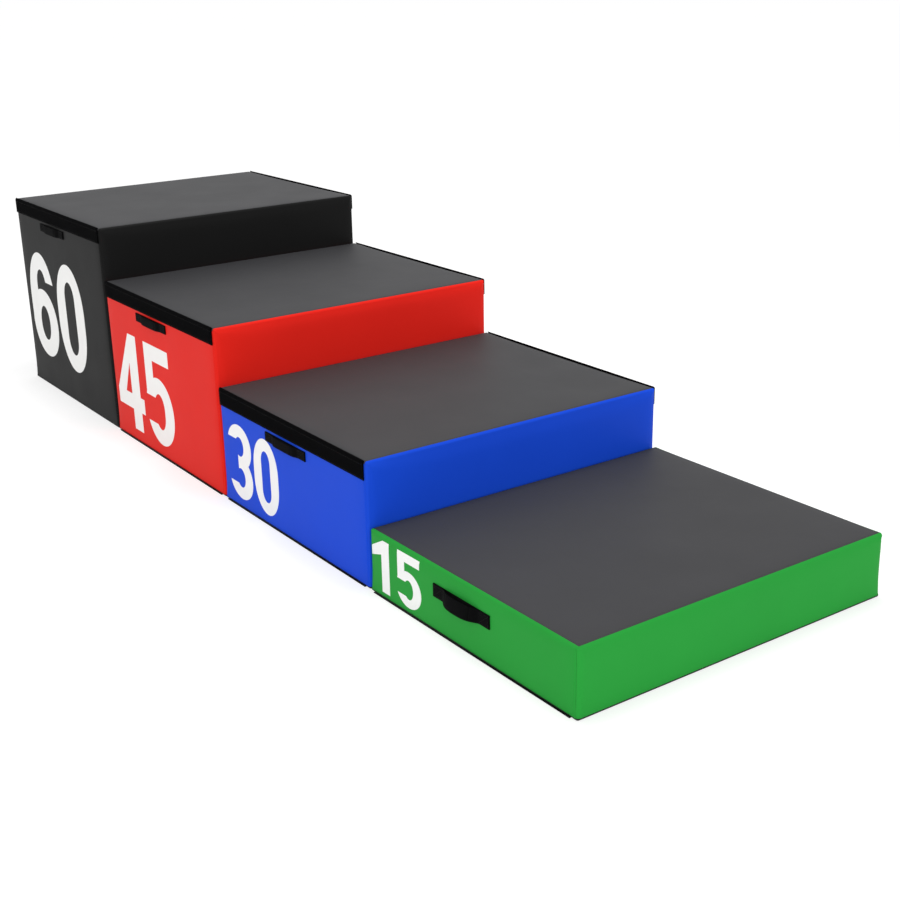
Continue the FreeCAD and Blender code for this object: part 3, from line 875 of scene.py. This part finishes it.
class PLYO_OT_strips(bpy.types.Operator):
    """Sew the loop strips along the tops of the ends"""

    bl_idname = "plyo.strips"
    bl_label = "Loop strips"

    lap_steps = 6
    stations = 56

    def execute(self, context):
        trim, colours = context.scene.plyo_trim, context.scene.plyo_colours
        # Single loops are finer than 0.5 mm; they are drawn in tufts of 1.5 mm to show at all.
        loops = pile("black loop tape", colours.black, tuft=1.5 * MM, depth=0.6 * MM)
        thread = sewing_thread(colours)
        for mark in BANDED:
            for end, side in ENDS.items():
                self.strip(mark, end, side, trim, loops, thread)
        return {"FINISHED"}

    def strip(self, mark, end, side, trim, loops, thread):
        """One strip with its rounded lap over the top edge, and its stitches."""
        low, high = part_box(f"loop_strips_{mark}")
        cover_low, cover_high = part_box(f"riser_panels_{mark}")
        face = side * cover_high.y
        radius, thick = cover_high.z - high.z, cover_low.y - low.y
        path = [(0, z) for z in evenly(low.z, high.z, self.lap_steps)]
        for turn in evenly(0, trim.strip_wrap, self.lap_steps)[1:]:
            path.append((radius * (math.cos(turn) - 1), high.z + radius * math.sin(turn)))
        outline = [*beside(path, thick), *beside(path, -trim.strip_sink)[::-1]]
        places = evenly(low.x, high.x, self.stations)
        rows = [[(x, face + side * out, z) for out, z in outline] for x in places]
        piece = solid(f"{end}_loop_strip_{mark}", rows, loops)
        settle(piece, f"box_{mark}", "loop_tape", f"loop_strips_{mark}")
        proud = face + side * (thick + trim.strip_thread)
        ends_x = (low.x + trim.strip_inset, high.x - trim.strip_inset)
        ends_z = (low.z + trim.strip_inset, high.z - trim.strip_inset)
        seams = [[(x, proud, z) for x in ends_x] for z in ends_z]
        seams += [[(x, proud, z) for z in ends_z] for x in ends_x]
        sewn = stitches(f"{end}_strip_stitches_{mark}", seams, thread)
        settle(sewn, f"box_{mark}", "loop_tape")


class PLYO_OT_straps(bpy.types.Operator):
    """Sew on the webbing carrying straps"""

    bl_idname = "plyo.straps"
    bl_label = "Carrying straps"

    leg_stations = 22
    grip_stations = 16
    bend_steps = 6
    # A slack strap's arch: 2 would be a parabola, and a higher power is flatter in the middle.
    arch_power = 3
    # Thickness of the webbing and of the black tape behind it, which paints the shade behind the grip, over
    # the radius of their edges
    webbing_over_edge = 2.2
    backing_over_edge = 2.5

    def execute(self, context):
        trim, colours = context.scene.plyo_trim, context.scene.plyo_colours
        # The webbing has a rib every 1.6 mm across it and every 2.2 mm along it.
        ribs = {"warp": 1.6 * MM, "weft": 2.2 * MM, "depth": 0.4 * MM}
        webbing = woven("black polyester webbing", colours.black, **ribs, sheen=0.003)
        thread = sewing_thread(colours)
        for mark in MARKS:
            for end, side in ENDS.items():
                self.strap(mark, end, side, trim, webbing, thread)
        return {"FINISHED"}

    def strap(self, mark, end, side, trim, webbing, thread):
        """One strap: two legs with their sewn ends, the grip between, the black tape behind that paints the
        shade under the grip, and the stitches.
        """
        body, grip_body = f"box_{mark}", f"{end}_grip_{mark}"
        low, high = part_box(f"strap_ends_{mark}")
        grip_low, grip_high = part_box(grip_body)
        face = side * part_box(f"riser_panels_{mark}")[1].y
        bow = min(abs(grip_low.y), abs(grip_high.y)) - abs(face)
        middle, tall = (low.z + high.z) / 2, high.z - low.z
        sewn_low, sewn_high = low.x + trim.patch, high.x - trim.patch
        section = rounded_section(tall, trim.webbing, trim.webbing / self.webbing_over_edge)

        def arch(x):
            """Share of the bow at a place along the strap, with a sharp bend where it leaves its patches."""
            share = min(1, abs(2 * x - sewn_low - sewn_high) / (sewn_high - sewn_low))
            return 1 - share ** (self.arch_power * trim.slack / bow)

        def lift(x):
            """Share of the bow at a place along the strap, with the webbing's own bend at its patches."""
            near = evenly(x - trim.bend, x + trim.bend, self.bend_steps)
            return sum(arch(place) for place in near) / len(near)

        def surface(x, across, out):
            """A point of the webbing, at a place along and across it and out from its back."""
            step = MM / 10
            hang = 1 - trim.lean * (bow / trim.slack) ** 2 * across / (tall / 2)
            slope = bow * hang * (lift(x + step) - lift(x - step)) / (2 * step)
            stretch = math.hypot(1, slope)
            y = trim.backing + bow * hang * lift(x) + out / stretch
            return (x - out * slope / stretch, face + side * y, middle + across)

        spans = {
            f"{end}_strap_left_{mark}": (low.x, grip_low.x, self.leg_stations),
            f"{end}_strap_grip_{mark}": (grip_low.x, grip_high.x, self.grip_stations),
            f"{end}_strap_right_{mark}": (grip_high.x, high.x, self.leg_stations),
        }
        for name, span in spans.items():
            rows = [[surface(x, across, out) for across, out in section] for x in evenly(*span)]
            piece = solid(name, rows, webbing)
            if "grip" in name:
                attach(piece, grip_body)
                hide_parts(grip_body)
                continue
            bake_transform(piece)
            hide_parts(f"strap_ends_{mark}")
        # A black tape laid flat behind the whole strap: a real backing, and painted shade where the grip bows
        # away from the panel.
        flat = rounded_section(tall, trim.backing, trim.backing / self.backing_over_edge)
        rows = [[(x, face + side * out, middle + across) for across, out in flat] for x in (low.x, high.x)]
        settle(solid(f"{end}_strap_backing_{mark}", rows, webbing), body, "webbing")
        lines = []
        inset, proud = trim.patch_inset, face + side * (trim.backing + trim.webbing)
        for start, stop in ((low.x, sewn_low), (sewn_high, high.x)):
            spots = ((start + inset, -1), (stop - inset, -1), (stop - inset, 1), (start + inset, 1))
            corners = [(x, proud, middle + level * (tall / 2 - inset)) for x, level in spots]
            lines += [[*corners, corners[0]], [corners[0], corners[2]], [corners[1], corners[3]]]
        settle(stitches(f"{end}_strap_stitches_{mark}", lines, thread), body, "webbing")


class PLYO_OT_flaps(bpy.types.Operator):
    """Make the hook flaps that park under the bases"""

    bl_idname = "plyo.flaps"
    bl_label = "Hook flaps"

    corner_steps = 6
    stations = 24
    bead_steps = 10
    # Thickness of the hook tape, over the radius of its edges
    tape_over_edge = 3

    def execute(self, context):
        trim, colours = context.scene.plyo_trim, context.scene.plyo_colours
        # The cloth's threads are about 0.5 mm apart; they are drawn at 0.8 mm to show at all.
        threads = {"warp": 0.8 * MM, "weft": 0.8 * MM, "depth": 0.15 * MM}
        cloth = woven("black flap cloth", colours.black, **threads, sheen=0.05)
        nylon = vinyl("black nylon hooks", colours.black, roughness=0.5, specular=0.3)
        for mark in FLAPPED:
            for end, side in ENDS.items():
                self.flap(mark, end, side, trim, cloth, nylon)
        return {"FINISHED"}

    def flap(self, mark, end, side, trim, cloth, nylon):
        """One flap: its leaf with a beaded hem, the fold that it swings on, its hook tape and its hooks."""
        node = f"{end}_flap_{mark}"
        low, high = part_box(node)
        tip, hem = [side * reach for reach in sorted((abs(low.y), abs(high.y)))]
        places = self.places(low, high, trim)
        rows = [self.section(x, hem, tip + side * draw, low.z, trim, side) for x, draw in places]
        settle(solid(f"{node}_cloth", rows, cloth), node, "hook_flap", node)
        self.fold(node, mark, side, hem, trim, cloth)
        face = low.z + trim.leaf
        wide, thick = abs(hem - tip) - 2 * trim.tape_inset, trim.hook_tape
        band = rounded_section(wide, thick, thick / self.tape_over_edge)
        rows = [
            [(x, (hem + tip) / 2 + across, face + out) for across, out in band]
            for x in (low.x + trim.tape_inset, high.x - trim.tape_inset)
        ]
        settle(solid(f"{node}_tape", rows, nylon), node, "hook_flap")
        inset = trim.hook_inset
        inner, outer = sorted((tip + side * inset, hem - side * inset))
        count = max(2, round((outer - inner) / trim.hook_pitch))
        lines = []
        for step, y in enumerate(evenly(inner, outer, count)):
            shift = trim.hook_pitch / 2 * (step % 2)
            lines.append([(x, y, face + thick) for x in (low.x + inset + shift, high.x - inset)])
        hooks = shapes_in_a_row(f"{node}_hooks", lines, nylon, trim.hook_pitch, trim.hook)
        settle(hooks, node, "hook_flap")

    @staticmethod
    def fold(node, mark, side, hem, trim, cloth):
        """The fold of cloth on which a flap swings, from the lip of its cover to its hem."""
        low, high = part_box(node)
        cover_low, cover_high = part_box(f"riser_panels_{mark}")
        lip = cover_low.z - bpy.context.scene.plyo_covers.foot_lap
        centre = abs(hem) - trim.hem / 2
        middle = (cover_high.y + centre) / 2
        path = [(cover_high.y - trim.fold, lip), (middle, low.z + trim.hem), (centre, low.z + trim.hem / 2)]
        outline = [*beside(path, trim.fold / 2), *beside(path, -trim.fold / 2)[::-1]]
        rows = [[(x, side * out, z) for out, z in outline] for x in (low.x, high.x)]
        piece = solid(f"{node}_fold", rows, cloth)
        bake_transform(piece)

    def places(self, low, high, trim):
        """Places along a flap, and how far its free edge is drawn back at each by its rounded corners."""
        corner = trim.flap_corner
        turns = evenly(0, math.radians(90), self.corner_steps)
        near = [(corner * (1 - math.cos(turn)), corner * (1 - math.sin(turn))) for turn in turns]
        middle = evenly(low.x + corner, high.x - corner, self.stations)[1:-1]
        places = [(low.x + along, draw) for along, draw in near] + [(x, 0) for x in middle]
        return places + [(high.x - along, draw) for along, draw in near[::-1]]

    def section(self, x, hem, tip, foot, trim, side):
        """Outline of a flap across its width: a leaf with a rounded bead along its hem."""
        bead = trim.hem / 2
        outline = [(x, tip, foot), (x, tip, foot + trim.leaf)]
        for turn in evenly(math.radians(150), math.radians(-150), self.bead_steps):
            y = hem - side * bead * (1 - math.cos(turn))
            outline.append((x, y, foot + bead * (1 + math.sin(turn))))
        return outline


class PLYO_OT_zips(bpy.types.Operator):
    """Sew in the zips on the far ends"""

    bl_idname = "plyo.zips"
    bl_label = "Zips"

    stations = 40

    def execute(self, context):
        trim, colours = context.scene.plyo_trim, context.scene.plyo_colours
        # The tape's threads are about 0.5 mm apart; they are drawn at 0.9 mm to show at all.
        threads = {"warp": 0.9 * MM, "weft": 0.9 * MM, "depth": 0.2 * MM}
        twill = woven("black zip tape", colours.black, **threads, sheen=0.05)
        nylon = vinyl("black nylon coil", colours.black, roughness=0.4, specular=0.4)
        zinc = plated_zinc("dark plated zinc", colours.metal)
        for mark in MARKS:
            node, body = f"zip_tape_{mark}", f"box_{mark}"
            low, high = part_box(node)
            rise = (low.z + high.z) / 2
            tape = rounded_section(high.z - low.z, trim.zip_tape, trim.zip_edge)
            places = evenly(low.x, high.x, self.stations)
            rows = [[(x, low.y + out, rise + across) for across, out in tape] for x in places]
            settle(solid(f"zip_tape_{mark}_twill", rows, twill), body, "zip_tape", node)
            for name, level in (("lower", -1), ("upper", 1)):
                up = rise + level * trim.coil_apart
                line = [(x, high.y - trim.coil_sink, up) for x in (low.x, high.x)]
                slant = -level * trim.turn_slant
                coil = shapes_in_a_row(
                    f"zip_coil_{name}_{mark}", [line], nylon, trim.turn_pitch, trim.turn, slant
                )
                settle(coil, body, "zip_tape")
            refinish(f"zip_slider_{mark}", zinc)
            refinish(f"zip_pull_{mark}", zinc)
        return {"FINISHED"}


class PLYO_OT_bases(bpy.types.Operator):
    """Finish the base mats"""

    bl_idname = "plyo.bases"
    bl_label = "Base mats"

    def execute(self, context):
        rubber = pebbled_mat("pebbled base rubber", context.scene.plyo_colours.mat)
        for mark in MARKS:
            refinish(f"base_mat_{mark}", rubber)
        return {"FINISHED"}


class PLYO_OT_stage(bpy.types.Operator):
    """Lay the floor, light the set and place the camera"""

    bl_idname = "plyo.stage"
    bl_label = "Stage"

    def execute(self, context):
        studio, colours = context.scene.plyo_studio, context.scene.plyo_colours
        self.floor(colours)
        self.sky(context, studio)
        self.lamps(context)
        self.camera(context, studio)
        context.scene.view_settings.view_transform = "Standard"
        return {"FINISHED"}

    def floor(self, colours):
        """A pale floor that the eye sees as white, but for the shadow on it."""
        half = 60
        corners = [(-half, -half, 0), (half, -half, 0), (half, half, 0), (-half, half, 0)]
        paper = studio_paper("pale studio floor", colours.floor)
        make_object("floor", corners, [(0, 1, 2, 3)], paper)

    def sky(self, context, studio):
        """White surroundings, plain white to the eye and in reflections."""
        world = bpy.data.worlds.new("studio")
        world.use_nodes = True
        context.scene.world = world
        tree = world.node_tree
        levels = {"Value": shown(tree), "To Min": studio.sky, "To Max": 1}
        strength = add_node(tree, "ShaderNodeMapRange", levels)
        feed(tree, tree.nodes["Background"], {"Color": (1, 1, 1, 1), "Strength": strength})

    def lamps(self, context):
        """Large soft boxes: one high over the row, one on the side of the numbers."""
        # Place, aim, width in metres, power in watts
        lamps = {
            "overhead": ((0.2, 0.3, 4.2), (0, 0, 0.2), 1.5, 65),
            "key": ((9.0, -4.7, 4.2), (0, 0, 0.3), 5.0, 305),
        }
        for name, (place, aim, size, power) in lamps.items():
            lamp = bpy.data.lights.new(name, "AREA")
            lamp.shape = "SQUARE"
            lamp.size = size
            lamp.energy = power
            holder = bpy.data.objects.new(name, lamp)
            holder.location = place
            holder.rotation_euler = (Vector(aim) - Vector(place)).to_track_quat("-Z", "Y").to_euler()
            context.scene.collection.objects.link(holder)

    def camera(self, context, studio):
        """The photograph's view of the row."""
        lens = bpy.data.cameras.new("camera")
        lens.lens = studio.lens
        camera = bpy.data.objects.new("camera", lens)
        camera.location = studio.eye
        level = Euler((math.radians(90) - studio.tilt, 0, studio.heading)).to_quaternion()
        camera.rotation_euler = (level @ Quaternion((0, 0, 1), studio.roll)).to_euler()
        context.scene.collection.objects.link(camera)
        context.scene.camera = camera


class PLYO_PT_panel(bpy.types.Panel):
    """Pieces of the plyo box set"""

    bl_label = "Plyo boxes"
    bl_idname = "PLYO_PT_panel"
    bl_space_type = "VIEW_3D"
    bl_region_type = "UI"
    bl_category = "Plyo boxes"

    def draw(self, context):
        for operator in OPERATORS:
            self.layout.operator(operator.bl_idname)
        for holder in GROUPS:
            group = getattr(context.scene, holder)
            for name in group.bl_rna.properties.keys():
                if name not in ("rna_type", "name"):
                    self.layout.prop(group, name)


GROUPS = {
    "plyo_covers": PlyoCovers,
    "plyo_trim": PlyoTrim,
    "plyo_colours": PlyoColours,
    "plyo_studio": PlyoStudio,
}
OPERATORS = (
    PLYO_OT_foam,
    PLYO_OT_covers,
    PLYO_OT_numbers,
    PLYO_OT_strips,
    PLYO_OT_straps,
    PLYO_OT_flaps,
    PLYO_OT_zips,
    PLYO_OT_bases,
    PLYO_OT_stage,
)


def register():
    """Make the operators, the panel and the settings known."""
    for kind in (*GROUPS.values(), *OPERATORS, PLYO_PT_panel):
        bpy.utils.register_class(kind)
    for holder, group in GROUPS.items():
        setattr(bpy.types.Scene, holder, bpy.props.PointerProperty(type=group))


def unregister():
    """Take the settings, the panel and the operators away again."""
    for holder in GROUPS:
        delattr(bpy.types.Scene, holder)
    for kind in (PLYO_PT_panel, *OPERATORS, *GROUPS.values()):
        bpy.utils.unregister_class(kind)


def main():
    """Build the whole set."""
    register()
    bpy.ops.plyo.foam()
    bpy.ops.plyo.covers()
    bpy.ops.plyo.numbers()
    bpy.ops.plyo.strips()
    bpy.ops.plyo.straps()
    bpy.ops.plyo.flaps()
    bpy.ops.plyo.zips()
    bpy.ops.plyo.bases()
    bpy.ops.plyo.stage()


if __name__ == "__main__":
    main()
